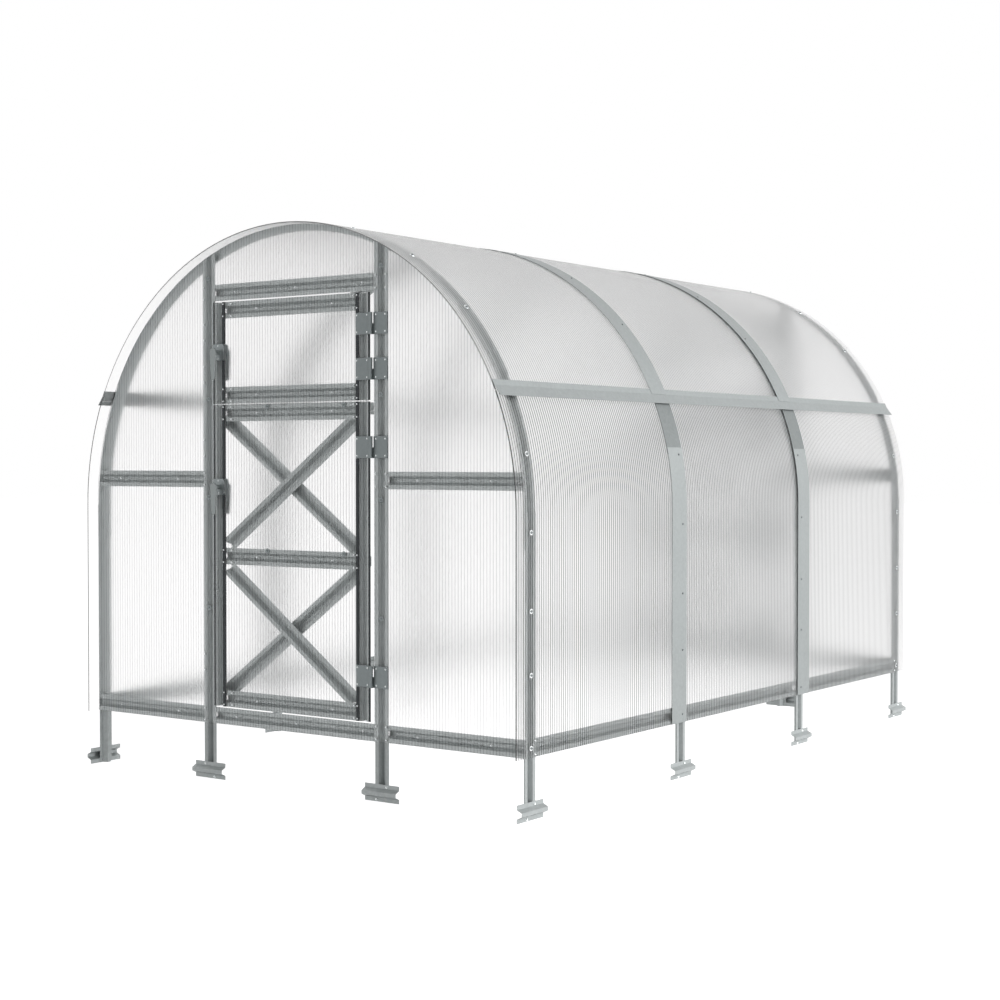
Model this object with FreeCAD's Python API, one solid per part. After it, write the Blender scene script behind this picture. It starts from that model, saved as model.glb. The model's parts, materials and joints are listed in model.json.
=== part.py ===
"""Arched greenhouse: hat-profile steel frame, twin-wall sheets, a two-leaf door in each gable.

Millimetres. X runs across the width, Y along the length with the front gable at -Y, Z up.
The origin is on the ground, in the middle of the plan.
"""
import FreeCAD, Part
import math
import os

# Frame
FRAME_WIDTH = 2000.0        # over the flanges of the arch legs
BAY = 980.0                 # from arch to arch
BAYS = 3
SPRING_HEIGHT = 1000.0      # where the straight legs end and the half circle starts
GROUND_RAIL_BASE = 205.0    # lower edge of the ground rails, above the feet

# Hat profile, roll-formed from strip, open side against the sheets
HAT_WIDTH = 60.0
HAT_DEPTH = 20.0
HAT_MOUTH = 30.0            # channel width at the flanges
HAT_FLOOR = 12.0            # channel width at its floor
STEEL = 1.0
RAIL_LAP = 13.0             # of a rail's ends behind the flanges of the members that it meets

# Arch splices, where the shoulder pieces nest inside the crown and the legs
CROWN_END_ANGLE = 27.0      # degrees above the spring line
SHOULDER_END_ANGLE = 43.0
LEG_SPLICE = 120.0

# Gables
POST_CENTRE = 406.0
MID_RAIL_RISE = 100.0       # centre of the rail above the spring line
LINTEL_RISE = 749.0         # lower edge of the lintel above the spring line
ANCHOR_LENGTH = 150.0

# Sheets, their cover straps and the eave bands
SHEET = 4.0
SHEET_OVERHANG = 53.0       # past the end of the frame
SHEET_JOINT = 2.0           # gap between two sheets under a strap or band
EAVE_ANGLE = 23.2           # joint of wall sheet and roof sheet
STRAP_INNER = 30.0          # strap edges, from the arch's centre line
STRAP_OUTER = 75.0
SHOULDER_STRAP_TOP_ANGLE = 22.9
SHOULDER_STRAP_FOOT_ANGLE = 11.0
WALL_STRAP_TOP_ANGLE = 12.4
BAND_TOP_ANGLE = 25.4
BAND_CREASE_ANGLE = 24.2
BAND_FOOT_ANGLE = 21.9
BAND_FLARE = 10.0           # how far the band's drip edge stands off the sheet

# Door leaves
LEAF_GAP = 5.5              # over the threshold and under the lintel
LEAF_SPLIT_RISE = 372.4     # middle of the gap between the two leaves, above the spring line
LEAF_SPLIT_GAP = 4.8
LEAF_STANDOFF = 2.0         # leaf face in front of the gable face
LATCH_LAP = 6.0             # of the leaf over the latch-side post
HINGE_GAP = 18.0            # between the leaf and the hinge-side post
BRACE_TIP = 14.0            # cut off each end of the front braces, from the corner
SEAL = 2.0                  # thickness of the rubber strips on the stiles
SEAL_OUTER = 8.0            # strip width on the outer flange
SEAL_INNER = 12.0           # strip width over the sheet, on the inner flange

# Hinges
HINGE_HEIGHT = 75.0
HINGE_PLATE = 2.0
BARREL_RADIUS = 8.0
PIN_RADIUS = 3.0
UPPER_HINGE_INSET = 107.0   # hinge centres, from the top and bottom of the leaf
LOWER_HINGE_INSET = 156.5

# Turn latches
UPPER_LATCH_RISE = 187.0    # spindle above the bottom of the leaf
LOWER_LATCH_RISE = 801.5
LATCH_PLATE_WIDTH = 54.0
INNER_PLATE_WIDTH = 42.0    # clears the post when the leaf swings
LATCH_PLATE_HEIGHT = 60.0
LATCH_PLATE = 3.0
LATCH_PLATE_CORNER = 6.0
SPINDLE = 6.0               # side of the square spindle
NECK_RADIUS = 8.0           # the round neck that turns in the base plate
LEVER_HEAD_RADIUS = 14.0
LEVER_TIP_RADIUS = 9.0
LEVER_REACH = 92.0          # from the spindle to the centre of the tip
LEVER = 6.0
LEVER_STANDOFF = 30.0       # of the outer lever, from the leaf face
TONGUE_HEAD_RADIUS = 11.0
TONGUE_TIP_RADIUS = 8.0
TONGUE_REACH = 50.0
TONGUE = 3.0
INNER_LEVER_STANDOFF = 10.0  # from the tongue to the inner lever

# Clearances
FIT = 0.2                   # between the ends of members that meet
SEAT = 0.1                  # between the frame and the sheets that lie on it
LAP_FIT = 0.2               # between strips that lie over each other
NEST_FIT = 0.05             # between nested webs
PIN_FIT = 0.05              # radial, of pins and spindles that turn
PRESS_FIT = 0.02            # on each side of the spindle, of pieces fixed on it
KNUCKLE_FIT = 0.4
TURN_FIT = 0.5              # room round a knuckle that turns
TONGUE_FIT = 2.0            # between the tongue and the post
CROWN_HOLE_FIT = 0.6        # round the spindle in the stile and the neck in the sheet

Vec = FreeCAD.Vector
X_AXIS = Vec(1, 0, 0)
Y_AXIS = Vec(0, 1, 0)
Z_AXIS = Vec(0, 0, 1)
HALF_TURN = 180.0

radius = FRAME_WIDTH / 2
frame_end = BAYS * BAY / 2 + HAT_WIDTH / 2
arch_places = [(index - BAYS / 2) * BAY for index in range(BAYS + 1)]
sheet_inside = radius + SEAT
sheet_outside = sheet_inside + SHEET
sheet_end = frame_end + SHEET_OVERHANG
web_slope = (HAT_MOUTH - HAT_FLOOR) / 2 / (HAT_DEPTH - STEEL)
web_stretch = math.hypot(1, web_slope)
nest_shift = (STEEL + NEST_FIT) * web_stretch / web_slope
shoulder_radius = radius - nest_shift

mid_rail_height = SPRING_HEIGHT + MID_RAIL_RISE
lintel_base = SPRING_HEIGHT + LINTEL_RISE
gable_face = -frame_end
leaf_face = gable_face - LEAF_STANDOFF
gable_sheet_face = gable_face - SEAT - SHEET
leaf_sheet_face = leaf_face - SEAT - SHEET
post_plate_back = gable_sheet_face - SEAT
leaf_plate_back = leaf_sheet_face - SEAT
post_inner = POST_CENTRE - HAT_WIDTH / 2
post_outer = POST_CENTRE + HAT_WIDTH / 2
leaf_left = -post_inner - LATCH_LAP
leaf_right = post_inner - HINGE_GAP
leaf_floor = GROUND_RAIL_BASE + HAT_WIDTH + LEAF_GAP
leaf_ceiling = lintel_base - LEAF_GAP
lower_leaf_top = SPRING_HEIGHT + LEAF_SPLIT_RISE - LEAF_SPLIT_GAP / 2
upper_leaf_bottom = lower_leaf_top + LEAF_SPLIT_GAP
leaf_mid_rail = (leaf_floor + lower_leaf_top) / 2
latch_stile = leaf_left + HAT_WIDTH / 2
hinge_stile = leaf_right - HAT_WIDTH / 2
field_left = leaf_left + HAT_WIDTH + FIT
field_right = leaf_right - HAT_WIDTH - FIT
hinge_x = (leaf_right + post_inner) / 2
hinge_y = (post_plate_back + leaf_plate_back) / 2 - BARREL_RADIUS
opening_left = leaf_left - SHEET_JOINT
opening_right = post_inner + FIT
spindle_sweep = SPINDLE / 2 * math.sqrt(2)
lap_drop = STEEL + SEAT


def mouth_side(depth):
    """Half width of the open side of the channel at a depth below the flange face."""
    return HAT_MOUTH / 2 - web_slope * depth


def back_side(depth, gap=0.0):
    """Half width of the crown side of the webs, grown by a gap."""
    return mouth_side(depth) + (STEEL + gap) * web_stretch


def both_halves(half):
    """Close an outline whose right half runs from the open side round to the crown side."""
    return half + [(-across, depth) for across, depth in reversed(half)]


def hat_section():
    """The bent strip: flange, web and floor on the open side, then back along the crown side."""
    floor = HAT_DEPTH - STEEL
    tip = HAT_WIDTH / 2
    open_side = [(tip, 0), (HAT_MOUTH / 2, 0), (mouth_side(floor), floor)]
    crown_side = [(back_side(HAT_DEPTH), HAT_DEPTH), (back_side(STEEL), STEEL), (tip, STEEL)]
    left_open = [(-across, depth) for across, depth in reversed(open_side)]
    left_crown = [(-across, depth) for across, depth in reversed(crown_side)]
    return open_side + left_open + left_crown + crown_side


def hat_envelope():
    """The room that a hat member takes, with all that lies outward of it."""
    tip = HAT_WIDTH / 2 + FIT
    lip = STEEL + FIT
    crown = HAT_DEPTH + FIT
    half = [(tip, -FRAME_WIDTH), (tip, lip), (back_side(lip, FIT), lip), (back_side(crown, FIT), crown)]
    return both_halves(half)


def outline_face(points):
    return Part.Face(Part.makePolygon(points + points[:1]))


def bar(section, start, end, inward):
    """Extrude a section from start to end. Depth runs inward from the flange face."""
    along = end.sub(start)
    across = along.cross(inward)
    across.normalize()
    points = [start + across * side + inward * depth for side, depth in section]
    return outline_face(points).extrude(along)


def polar(distance, angle, place=0.0):
    """A point on the arch, at an angle above the spring line on the right-hand side."""
    turn = math.radians(angle)
    return Vec(distance * math.cos(turn), place, SPRING_HEIGHT + distance * math.sin(turn))


def bend(section, flange_radius, place, start_angle, end_angle):
    """Revolve a section round the arch's centre. Depth runs towards the centre."""
    points = [polar(flange_radius - depth, start_angle, place + side) for side, depth in section]
    centre = Vec(0, place, SPRING_HEIGHT)
    return outline_face(points).revolve(centre, -Y_AXIS, end_angle - start_angle)


def strip_section(inner_side, outer_side):
    """A flat strip one steel thick, outside its radius, from one side to the other."""
    return [(inner_side, 0), (outer_side, 0), (outer_side, -STEEL), (inner_side, -STEEL)]


def block(x_range, y_range, z_range):
    low = Vec(min(x_range), min(y_range), min(z_range))
    high = Vec(max(x_range), max(y_range), max(z_range))
    size = high - low
    return Part.makeBox(size.x, size.y, size.z, low)


def rod(radius_of_rod, start, along, length):
    return Part.makeCylinder(radius_of_rod, length, start, along)


def joined(first, *others):
    return first.fuse(list(others)).removeSplitter().Solids[0]


def left_right(shapes):
    """Mirror right-hand shapes across the middle of the width."""
    return [shape.mirror(Vec(0, 0, 0), X_AXIS) for shape in shapes]


def turned_round(shapes):
    """The rear gable is the front one turned half round."""
    turned = [shape.copy() for shape in shapes]
    for shape in turned:
        shape.rotate(Vec(0, 0, 0), Z_AXIS, HALF_TURN)
    return turned


def arch_crown(place):
    return bend(hat_section(), radius, place, CROWN_END_ANGLE, HALF_TURN - CROWN_END_ANGLE)


def arch_shoulder(place):
    """Right-hand shoulder: a bent length that runs on straight down to the leg splice."""
    curve = bend(hat_section(), shoulder_radius, place, 0, SHOULDER_END_ANGLE)
    top = Vec(shoulder_radius, place, SPRING_HEIGHT)
    straight = bar(hat_section(), top - Z_AXIS * LEG_SPLICE, top, -X_AXIS)
    return joined(curve, straight)


def arch_leg(place):
    return bar(hat_section(), Vec(radius, place, 0), Vec(radius, place, SPRING_HEIGHT), -X_AXIS)


def side_ground_rails():
    """Right-hand ground rails, one to a bay, between the flanges of the legs."""
    middle = GROUND_RAIL_BASE + HAT_WIDTH / 2
    trim = HAT_WIDTH / 2 + FIT
    rails = []
    for place, next_place in zip(arch_places, arch_places[1:]):
        start = Vec(radius, place + trim, middle)
        end = Vec(radius, next_place - trim, middle)
        rails.append(bar(hat_section(), start, end, -X_AXIS))
    return rails


def end_arch_room(flange_radius):
    """The room of the front arch and all outside it, which the gable members are coped to."""
    place = arch_places[0]
    room = bend(hat_envelope(), flange_radius, place, 0, HALF_TURN)
    for side in (1, -1):
        foot = Vec(side * flange_radius, place, 0)
        top = Vec(side * flange_radius, place, SPRING_HEIGHT)
        room = room.fuse(bar(hat_envelope(), foot, top, X_AXIS * -side))
    return room


def gable_bar(start, end):
    """A hat member in the front gable, its flange face on the gable face."""
    face = Y_AXIS * gable_face
    return bar(hat_section(), start + face, end + face, Y_AXIS)


def gable_rail(start, end):
    """A hat member that lies behind the flanges of the posts."""
    return gable_bar(start, end).translated(Y_AXIS * lap_drop)


def coped(member, room):
    """The piece of a member that is left inside the arch."""
    left = member.cut(room)
    return max(left.Solids, key=lambda solid: solid.Volume)


def side_rail_pair(height, room):
    """Two gable rails at one height, from the door posts to the arch."""
    start = Vec(post_outer - RAIL_LAP, 0, height)
    end = Vec(radius, 0, height)
    right = coped(gable_rail(start, end), room)
    return [right] + left_right([right])


def gable_frame():
    """Front posts, lintel, ground rails and mid rails."""
    leg_room = end_arch_room(radius)
    shoulder_room = end_arch_room(shoulder_radius)
    top = Vec(POST_CENTRE, 0, SPRING_HEIGHT + radius)
    post = coped(gable_bar(Vec(POST_CENTRE, 0, 0), top), leg_room)
    ground = GROUND_RAIL_BASE + HAT_WIDTH / 2
    lintel = lintel_base + HAT_WIDTH / 2
    span = X_AXIS * (post_inner + RAIL_LAP)
    threshold = gable_rail(-span + Z_AXIS * ground, span + Z_AXIS * ground)
    beam = gable_rail(-span + Z_AXIS * lintel, span + Z_AXIS * lintel)
    posts = [post] + left_right([post])
    ground_rails = [threshold] + side_rail_pair(ground, leg_room)
    mid_rails = side_rail_pair(mid_rail_height, shoulder_room)
    return posts, ground_rails, mid_rails, [coped(beam, leg_room)]


def leg_anchors():
    """Right-hand anchors: short lengths across the legs, crown outward, foot on the ground."""
    anchors = []
    for place in arch_places:
        start = Vec(radius, place - ANCHOR_LENGTH / 2, HAT_WIDTH / 2)
        anchors.append(bar(hat_section(), start, start + Y_AXIS * ANCHOR_LENGTH, X_AXIS))
    return anchors


def post_anchors():
    """The same lengths across the front door posts."""
    anchors = []
    for centre in (POST_CENTRE, -POST_CENTRE):
        start = Vec(centre - ANCHOR_LENGTH / 2, gable_face, HAT_WIDTH / 2)
        anchors.append(bar(hat_section(), start, start + X_AXIS * ANCHOR_LENGTH, -Y_AXIS))
    return anchors


def sheet_spans():
    """Where the sheets of the three bays begin and end along the length."""
    breaks = arch_places[1:-1]
    starts = [-sheet_end] + [place + SHEET_JOINT / 2 for place in breaks]
    ends = [place - SHEET_JOINT / 2 for place in breaks] + [sheet_end]
    return list(zip(starts, ends))


def bent_sheet(start, end, start_angle, end_angle):
    section = [(start, 0), (end, 0), (end, -SHEET), (start, -SHEET)]
    return bend(section, sheet_inside, 0, start_angle, end_angle)


def roof_sheets():
    edge = EAVE_ANGLE + math.degrees(SHEET_JOINT / 2 / radius)
    return [bent_sheet(start, end, edge, HALF_TURN - edge) for start, end in sheet_spans()]


def wall_sheets():
    """Right-hand wall sheets, straight up the legs and bent over to the eave."""
    edge = EAVE_ANGLE - math.degrees(SHEET_JOINT / 2 / radius)
    sheets = []
    for start, end in sheet_spans():
        across = (sheet_inside, sheet_outside)
        flat = block(across, (start, end), (GROUND_RAIL_BASE, SPRING_HEIGHT))
        sheets.append(joined(flat, bent_sheet(start, end, 0, edge)))
    return sheets


def gable_sheets():
    """Front sheets over the posts left and right of the door, along its threshold, and over it."""
    field_radius = radius - FIT
    disc = rod(field_radius, Vec(0, gable_sheet_face, SPRING_HEIGHT), Y_AXIS, SHEET)
    width = (-field_radius, field_radius)
    depth = (gable_sheet_face, gable_sheet_face + SHEET)
    ridge = SPRING_HEIGHT + radius
    field = disc.fuse(block(width, depth, (GROUND_RAIL_BASE, SPRING_HEIGHT)))

    def cut_from_field(x_range, z_range):
        return field.common(block(x_range, depth, z_range)).removeSplitter().Solids[0]

    left = cut_from_field((-radius, opening_left), (GROUND_RAIL_BASE, ridge))
    right = cut_from_field((opening_right, radius), (GROUND_RAIL_BASE, ridge))
    doorway = (opening_left + SHEET_JOINT, opening_right - SHEET_JOINT)
    threshold = cut_from_field(doorway, (GROUND_RAIL_BASE, GROUND_RAIL_BASE + HAT_WIDTH))
    top = cut_from_field(doorway, (lintel_base, ridge))
    return [right, left, threshold], [top]


def strap_sides(place):
    """Edges of a strap beside its arch's centre: it laps further over the end bay."""
    outward = math.copysign(1, place)
    return sorted((outward * STRAP_OUTER, -outward * STRAP_INNER))


def cover_straps():
    """Straps over the middle arches: roof, right shoulder and right wall lengths."""
    lower = sheet_outside + LAP_FIT
    upper = lower + STEEL + LAP_FIT
    roof, shoulder, wall = [], [], []
    for place in arch_places[1:-1]:
        section = strip_section(*strap_sides(place))
        roof.append(bend(section, upper, place, BAND_CREASE_ANGLE, HALF_TURN - BAND_CREASE_ANGLE))
        shoulder.append(bend(section, lower, place, SHOULDER_STRAP_FOOT_ANGLE, SHOULDER_STRAP_TOP_ANGLE))
        curve = bend(section, upper, place, 0, WALL_STRAP_TOP_ANGLE)
        foot = Vec(upper, place, GROUND_RAIL_BASE)
        straight = bar([(-side, depth) for side, depth in section], foot,
                       foot + Z_AXIS * (SPRING_HEIGHT - GROUND_RAIL_BASE), -X_AXIS)
        wall.append(joined(curve, straight))
    return roof, shoulder, wall


def eave_band():
    """Right-hand band: one facet on the roof sheet, one flared out as a drip edge."""
    on_sheet = sheet_outside + LAP_FIT
    drip = sheet_outside + BAND_FLARE
    line = [(on_sheet, BAND_TOP_ANGLE), (on_sheet, BAND_CREASE_ANGLE), (drip, BAND_FOOT_ANGLE)]
    back = [polar(distance, angle, -sheet_end) for distance, angle in line]
    front = [polar(distance + STEEL, angle, -sheet_end) for distance, angle in reversed(line)]
    return outline_face(back + front).extrude(Y_AXIS * 2 * sheet_end)


def leaf_bar(start, end):
    """A hat member of a door leaf, its flange face on the leaf face."""
    face = Y_AXIS * leaf_face
    return bar(hat_section(), start + face, end + face, Y_AXIS)


def leaf_rail(height):
    """A rail of a leaf, whose ends lie behind the flanges of the stiles."""
    start = Vec(field_left - RAIL_LAP, lap_drop, height)
    return leaf_bar(start, Vec(field_right + RAIL_LAP, lap_drop, height))


def lengthened(start, end, extra):
    """The same line, longer at both ends, or shorter where extra is negative."""
    direction = end.sub(start).normalize() * extra
    return start - direction, end + direction


def crossed_braces(low_rail, high_rail, rising_in_front):
    """Two diagonals between two rails: one in the depth of the leaf, one behind its frame."""
    low = low_rail + HAT_WIDTH / 2 + FIT
    high = high_rail - HAT_WIDTH / 2 - FIT
    rising = (Vec(field_left, 0, low), Vec(field_right, 0, high))
    falling = (Vec(field_left, 0, high), Vec(field_right, 0, low))
    front, back = (rising, falling) if rising_in_front else (falling, rising)
    field = block((field_left, field_right), (leaf_face, leaf_face + HAT_DEPTH), (low, high))
    front_brace = leaf_bar(*lengthened(*front, -BRACE_TIP)).common(field)
    back_face = leaf_face + lap_drop + HAT_DEPTH + SEAT
    behind = block((latch_stile, hinge_stile), (back_face, back_face + HAT_DEPTH),
                   (low_rail + FIT, high_rail - FIT))
    ends = [end + Y_AXIS * back_face for end in lengthened(*back, HAT_WIDTH)]
    back_brace = bar(hat_section(), *ends, Y_AXIS).common(behind)
    return front_brace.Solids + back_brace.Solids


def square_bar(half_side, latch_height, y_range):
    """A square bar along a latch's axis."""
    x_range = (latch_stile - half_side, latch_stile + half_side)
    return block(x_range, y_range, (latch_height - half_side, latch_height + half_side))


def leaf_sheet(bottom, top, latch_height):
    """The sheet lies on stiles and rails, between the outer seals, with a hole for the latch's neck."""
    edge = SEAL_OUTER + FIT
    depth = (leaf_sheet_face, leaf_sheet_face + SHEET)
    sheet = block((leaf_left + edge, leaf_right - edge), depth, (bottom, top))
    front = Vec(latch_stile, leaf_sheet_face, latch_height)
    return sheet.cut(rod(NECK_RADIUS + CROWN_HOLE_FIT, front, Y_AXIS, SHEET)).Solids[0]


def stile_seals(bottom, top, latch_height, hinge_heights):
    """Rubber strips: beside the sheet on the outer flange of each stile, over it on the inner one."""
    on_flange = (leaf_face - SEAL, leaf_face)
    on_sheet = (leaf_plate_back - SEAL, leaf_plate_back)
    height = (bottom, top)
    latch_inner = leaf_left + HAT_WIDTH
    hinge_inner = leaf_right - HAT_WIDTH
    seals = [
        block((leaf_left, leaf_left + SEAL_OUTER), on_flange, height),
        block((leaf_right - SEAL_OUTER, leaf_right), on_flange, height),
    ]
    interrupted = (
        ((latch_inner - SEAL_INNER, latch_inner), (latch_height,), LATCH_PLATE_HEIGHT),
        ((hinge_inner, hinge_inner + SEAL_INNER), hinge_heights, HINGE_HEIGHT),
    )
    for strip, plates, plate_height in interrupted:
        seal = block(strip, on_sheet, height)
        room = plate_height / 2 + FIT
        for middle in plates:
            seal = seal.cut(block(strip, on_sheet, (middle - room, middle + room)))
        seals += seal.Solids
    return seals


def door_leaf(bottom, top, mid_rails, latch_height, hinge_heights):
    """Stiles, rails, sheet and seals of one leaf."""
    latch_side = leaf_bar(Vec(latch_stile, 0, bottom), Vec(latch_stile, 0, top))
    through_stile = (leaf_face, leaf_face + HAT_DEPTH)
    spindle_hole = square_bar(spindle_sweep + CROWN_HOLE_FIT, latch_height, through_stile)
    latch_side = latch_side.cut(spindle_hole).Solids[0]
    hinge_side = leaf_bar(Vec(hinge_stile, 0, bottom), Vec(hinge_stile, 0, top))
    rail_heights = [bottom + HAT_WIDTH / 2] + mid_rails + [top - HAT_WIDTH / 2]
    return {
        "stiles": [latch_side, hinge_side],
        "rails": [leaf_rail(height) for height in rail_heights],
        "sheet": [leaf_sheet(bottom, top, latch_height)],
        "seals": stile_seals(bottom, top, latch_height, hinge_heights),
    }


def hinge_plate(x_range, y_range, height, knuckle, other_knuckle):
    """A plate rolled into one knuckle, and cut away round the other plate's knuckle."""
    plate = block(x_range, y_range, (height - HINGE_HEIGHT / 2, height + HINGE_HEIGHT / 2))
    reach = BARREL_RADIUS + TURN_FIT
    room = block((hinge_x - reach, hinge_x + reach), y_range, other_knuckle)
    low, high = knuckle
    foot = Vec(hinge_x, hinge_y, low)
    barrel = rod(BARREL_RADIUS, foot, Z_AXIS, high - low)
    bore = rod(PIN_RADIUS + PIN_FIT, foot, Z_AXIS, high - low)
    return plate.cut(room).fuse(barrel).cut(bore).removeSplitter().Solids[0]


def hinge(height):
    """Post plate with the lower knuckle, leaf plate with the upper one, and the pin through both."""
    bottom = height - HINGE_HEIGHT / 2
    top = height + HINGE_HEIGHT / 2
    lower = (bottom, height - KNUCKLE_FIT / 2)
    upper = (height + KNUCKLE_FIT / 2, top)
    above_lower = (lower[1], top)
    below_upper = (bottom, upper[0])
    leaf_edge = leaf_right - HAT_WIDTH
    post_side = (post_plate_back - HINGE_PLATE, post_plate_back)
    leaf_side = (leaf_plate_back - HINGE_PLATE, leaf_plate_back)
    post_plate = hinge_plate((hinge_x, post_outer), post_side, height, lower, above_lower)
    leaf_plate = hinge_plate((leaf_edge, hinge_x), leaf_side, height, upper, below_upper)
    pin = rod(PIN_RADIUS, Vec(hinge_x, hinge_y, bottom), Z_AXIS, HINGE_HEIGHT)
    return post_plate, leaf_plate, pin


def drop_plate(pivot, head_radius, tip_radius, reach, thickness):
    """A flat drop shape that hangs from the pivot: a round head, straight flanks, a round tip."""
    lean = math.asin((head_radius - tip_radius) / reach)
    flank = Vec(math.cos(lean), 0, -math.sin(lean))
    other_flank = Vec(-flank.x, 0, flank.z)
    tip = pivot - Z_AXIS * reach
    head_arc = Part.Arc(pivot + flank * head_radius, pivot + Z_AXIS * head_radius,
                        pivot + other_flank * head_radius)
    tip_arc = Part.Arc(tip + other_flank * tip_radius, tip - Z_AXIS * tip_radius, tip + flank * tip_radius)
    left = Part.LineSegment(pivot + other_flank * head_radius, tip + other_flank * tip_radius)
    right = Part.LineSegment(tip + flank * tip_radius, pivot + flank * head_radius)
    wire = Part.Wire([curve.toShape() for curve in (head_arc, left, tip_arc, right)])
    return Part.Face(wire).extrude(Y_AXIS * thickness)


def cornered_plate(width, depth, height):
    """An upright plate on a latch's axis, with cut corners."""
    half = width / 2
    plate = block((latch_stile - half, latch_stile + half), depth,
                  (height - LATCH_PLATE_HEIGHT / 2, height + LATCH_PLATE_HEIGHT / 2))
    corners = [edge for edge in plate.Edges if abs(edge.tangentAt(edge.FirstParameter).dot(Y_AXIS)) > 0.5]
    return plate.makeChamfer(LATCH_PLATE_CORNER, corners)


def latch_base_plates(height):
    """One plate on the leaf's sheet, bored for the neck of the lever, and one on the stile's back."""
    front = leaf_plate_back - LATCH_PLATE
    outer = cornered_plate(LATCH_PLATE_WIDTH, (front, leaf_plate_back), height)
    outer = outer.cut(rod(NECK_RADIUS + PIN_FIT, Vec(latch_stile, front, height), Y_AXIS, LATCH_PLATE))
    stile_back = leaf_face + HAT_DEPTH + SEAT
    on_stile = (stile_back, stile_back + LATCH_PLATE)
    inner = cornered_plate(INNER_PLATE_WIDTH, on_stile, height)
    inner = inner.cut(square_bar(spindle_sweep + CROWN_HOLE_FIT, height, on_stile))
    return outer.Solids + inner.Solids


def turn_latch(height):
    """Outer lever, square spindle, tongue behind the post, and inner lever, all hanging down."""
    lever_front = leaf_face - LEVER_STANDOFF - LEVER
    tongue_front = gable_face + HAT_DEPTH + TONGUE_FIT
    tongue_back = tongue_front + TONGUE
    inner_lever_front = tongue_back + INNER_LEVER_STANDOFF
    length = (lever_front, inner_lever_front + LEVER)

    def at(depth):
        return Vec(latch_stile, depth, height)

    drop = (LEVER_HEAD_RADIUS, LEVER_TIP_RADIUS, LEVER_REACH, LEVER)
    outer_neck = rod(NECK_RADIUS, at(lever_front), Y_AXIS, leaf_face - lever_front)
    outer = joined(drop_plate(at(lever_front), *drop), outer_neck)
    inner_neck = rod(NECK_RADIUS, at(tongue_back + LAP_FIT), Y_AXIS, INNER_LEVER_STANDOFF)
    inner = joined(drop_plate(at(inner_lever_front), *drop), inner_neck)
    tongue = drop_plate(at(tongue_front), TONGUE_HEAD_RADIUS, TONGUE_TIP_RADIUS, TONGUE_REACH, TONGUE)
    bore = square_bar(SPINDLE / 2 + PRESS_FIT, height, length)
    spindle = square_bar(SPINDLE / 2, height, length)
    return [spindle] + [piece.cut(bore).Solids[0] for piece in (outer, tongue, inner)]


def front_door():
    """All nodes of the front door, two leaves with hinges and latches, and the hinge pins."""
    leaves = {
        "upper": (upper_leaf_bottom, leaf_ceiling, [], UPPER_LATCH_RISE, UPPER_HINGE_INSET),
        "lower": (leaf_floor, lower_leaf_top, [leaf_mid_rail], LOWER_LATCH_RISE, LOWER_HINGE_INSET),
    }
    nodes = {"hinge_post_plates": []}
    pins = []
    for name, (bottom, top, mid_rails, latch_rise, hinge_inset) in leaves.items():
        latch_height = bottom + latch_rise
        hinge_heights = (bottom + hinge_inset, top - hinge_inset)
        leaf = door_leaf(bottom, top, mid_rails, latch_height, hinge_heights)
        for part_name, shapes in leaf.items():
            nodes[f"{name}_leaf_{part_name}"] = shapes
        hinges = [hinge(height) for height in hinge_heights]
        nodes["hinge_post_plates"] += [post_plate for post_plate, _, _ in hinges]
        nodes[f"{name}_hinge_leaf_plates"] = [leaf_plate for _, leaf_plate, _ in hinges]
        pins += [pin for _, _, pin in hinges]
        nodes[f"{name}_latch_base_plate"] = latch_base_plates(latch_height)
        nodes[f"{name}_turn_latch"] = turn_latch(latch_height)
    low_rail = leaf_floor + HAT_WIDTH / 2
    high_rail = lower_leaf_top - HAT_WIDTH / 2
    braces = crossed_braces(low_rail, leaf_mid_rail, False)
    nodes["lower_leaf_braces"] = braces + crossed_braces(leaf_mid_rail, high_rail, True)
    return nodes, pins


def build_nodes():
    """Every node's name with its list of solids."""
    nodes = {}
    for name, place in zip(("front", "second", "third", "rear"), arch_places):
        nodes[f"{name}_arch_crown"] = [arch_crown(place)]

    right_side = {
        "arch_shoulders": [arch_shoulder(place) for place in arch_places],
        "arch_legs": [arch_leg(place) for place in arch_places],
        "ground_rails": side_ground_rails(),
        "wall_sheets": wall_sheets(),
    }
    for name, shapes in right_side.items():
        nodes[f"right_{name}"] = shapes
        nodes[f"left_{name}"] = left_right(shapes)
    roof_straps, shoulder_straps, wall_straps = cover_straps()
    band = [eave_band()]
    nodes["roof_sheets"] = roof_sheets()
    nodes["eave_bands"] = band + left_right(band)
    nodes["roof_cover_straps"] = roof_straps
    nodes["shoulder_cover_straps"] = shoulder_straps + left_right(shoulder_straps)
    nodes["wall_cover_straps"] = wall_straps + left_right(wall_straps)

    posts, ground_rails, mid_rails, lintel = gable_frame()
    side_sheets, top_sheet = gable_sheets()
    door, pins = front_door()
    gable = {"door_posts": posts, "ground_rails": ground_rails, "gable_side_sheets": side_sheets}
    gable.update(door)
    for name, shapes in gable.items():
        nodes[f"front_{name}"] = shapes
        nodes[f"rear_{name}"] = turned_round(shapes)
    both_gables = {
        "gable_mid_rails": mid_rails,
        "door_lintels": lintel,
        "gable_top_sheets": top_sheet,
        "hinge_pins": pins,
    }
    for name, shapes in both_gables.items():
        nodes[name] = shapes + turned_round(shapes)

    leg_feet = leg_anchors()
    post_feet = post_anchors()
    nodes["ground_anchors"] = leg_feet + left_right(leg_feet) + post_feet + turned_round(post_feet)
    return nodes


os.makedirs("parts", exist_ok=True)
for node_name, solids in build_nodes().items():
    shape = solids[0] if len(solids) == 1 else Part.makeCompound(solids)
    shape.exportStep(f"parts/{node_name}.step")
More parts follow.
